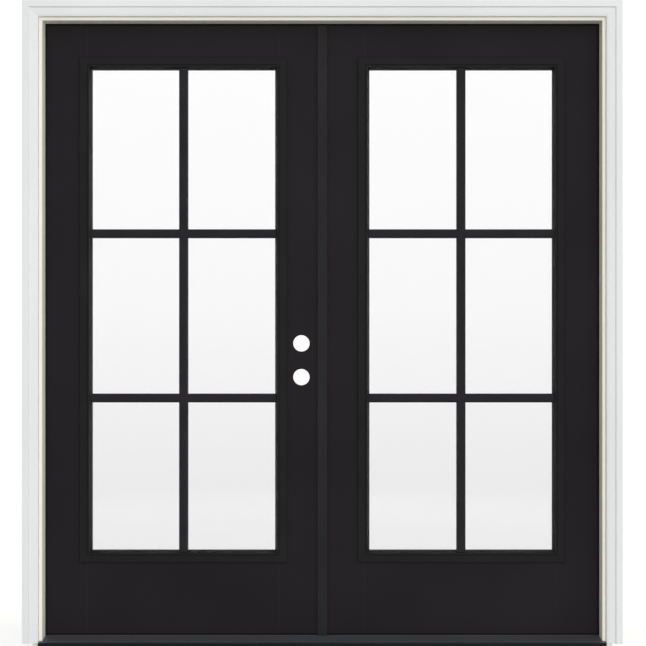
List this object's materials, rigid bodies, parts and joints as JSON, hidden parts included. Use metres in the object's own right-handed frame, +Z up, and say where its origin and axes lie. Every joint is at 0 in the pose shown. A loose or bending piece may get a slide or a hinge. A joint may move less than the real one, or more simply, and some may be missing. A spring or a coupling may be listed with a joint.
{
  "type": "double composite front door with frame",
  "caption": "Inswing double front door in its jambs, brickmould and sill, with glazed composite leaves, a meeting-edge astragal with flush bolts, butt hinges and empty lock bores.",
  "frame": {"origin": "on the underside of the sill, midway between the jambs and midway through the jambs' depth", "axes": "+Z up, +Y from the outside to the inside of the house, +X to the right as seen from outside"},
  "size_m": [1.9348, 0.1665, 2.0997],
  "materials": {
    "leaf_paint": "satin black paint on moulded composite",
    "edge_paint": "black painted laminated wood",
    "lock_block_wood": "bare softwood",
    "core_foam": "rigid foam",
    "lite_frame": "moulded black",
    "glazing_bar": "moulded black",
    "pane_glass": "clear float glass",
    "spacer_metal": "mill",
    "jamb_composite": "factory primed",
    "brickmould_white": "white moulded",
    "seal_foam": "matte skin",
    "sill_aluminium": "dark anodised",
    "sill_wood": "bare composite",
    "cap_composite": "satin",
    "astragal_metal": "black powder coat",
    "hinge_steel": "satin",
    "screw_steel": "zinc plated"
  },
  "bodies": {
    "frame": {"jamb_left": "jamb_composite", "jamb_right": "jamb_composite", "jamb_head": "jamb_composite", "brickmould_left": "brickmould_white", "brickmould_right": "brickmould_white", "brickmould_head": "brickmould_white", "sill_base": "sill_wood", "sill_deck": "sill_aluminium", "threshold_cap": "cap_composite", "threshold_screws": "screw_steel", "weatherstrip_left": "seal_foam", "weatherstrip_right": "seal_foam", "weatherstrip_head": "seal_foam", "bolt_strikes": "hinge_steel", "jamb_hinge_leaves": "hinge_steel", "hinge_pins": "hinge_steel", "jamb_hinge_screws": "screw_steel"},
    "active_leaf": {"active_outer_skin": "leaf_paint", "active_inner_skin": "leaf_paint", "active_hinge_stile": "edge_paint", "active_lock_stile": "edge_paint", "active_lock_block": "lock_block_wood", "active_top_rail": "edge_paint", "active_bottom_rail": "edge_paint", "active_foam_core": "core_foam", "active_outer_lite_frame": "lite_frame", "active_inner_lite_frame": "lite_frame", "active_outer_pane": "pane_glass", "active_inner_pane": "pane_glass", "active_pane_spacer": "spacer_metal", "active_outer_bars": "glazing_bar", "active_inner_bars": "glazing_bar", "active_lite_screws": "screw_steel", "active_door_bottom": "seal_foam", "active_hinge_leaves": "hinge_steel", "active_hinge_screws": "screw_steel"},
    "passive_leaf": {"passive_outer_skin": "leaf_paint", "passive_inner_skin": "leaf_paint", "passive_hinge_stile": "edge_paint", "passive_lock_stile": "edge_paint", "passive_top_rail": "edge_paint", "passive_bottom_rail": "edge_paint", "passive_foam_core": "core_foam", "passive_outer_lite_frame": "lite_frame", "passive_inner_lite_frame": "lite_frame", "passive_outer_pane": "pane_glass", "passive_inner_pane": "pane_glass", "passive_pane_spacer": "spacer_metal", "passive_outer_bars": "glazing_bar", "passive_inner_bars": "glazing_bar", "passive_lite_screws": "screw_steel", "passive_door_bottom": "seal_foam", "passive_hinge_leaves": "hinge_steel", "passive_hinge_screws": "screw_steel", "astragal": "astragal_metal", "astragal_cover": "astragal_metal", "astragal_seal": "seal_foam", "astragal_screws": "screw_steel"},
    "top_bolt": {"top_bolt": "hinge_steel"},
    "bottom_bolt": {"bottom_bolt": "hinge_steel"}
  },
  "joints": [
    {"name": "active_swing", "type": "hinge", "parent": "frame", "child": "active_leaf", "pos_m": [-0.9178, 0.0648, 1], "axis": [0, 0, 1], "range_deg": [0, 110]},
    {"name": "passive_swing", "type": "hinge", "parent": "frame", "child": "passive_leaf", "pos_m": [0.9178, 0.0648, 1], "axis": [0, 0, -1], "range_deg": [0, 110]},
    {"name": "top_bolt_slide", "type": "slide", "parent": "passive_leaf", "child": "top_bolt", "axis": [0, 0, 1], "range_m": [0, 0.021]},
    {"name": "bottom_bolt_slide", "type": "slide", "parent": "passive_leaf", "child": "bottom_bolt", "axis": [0, 0, -1], "range_m": [0, 0.021]}
  ]
}
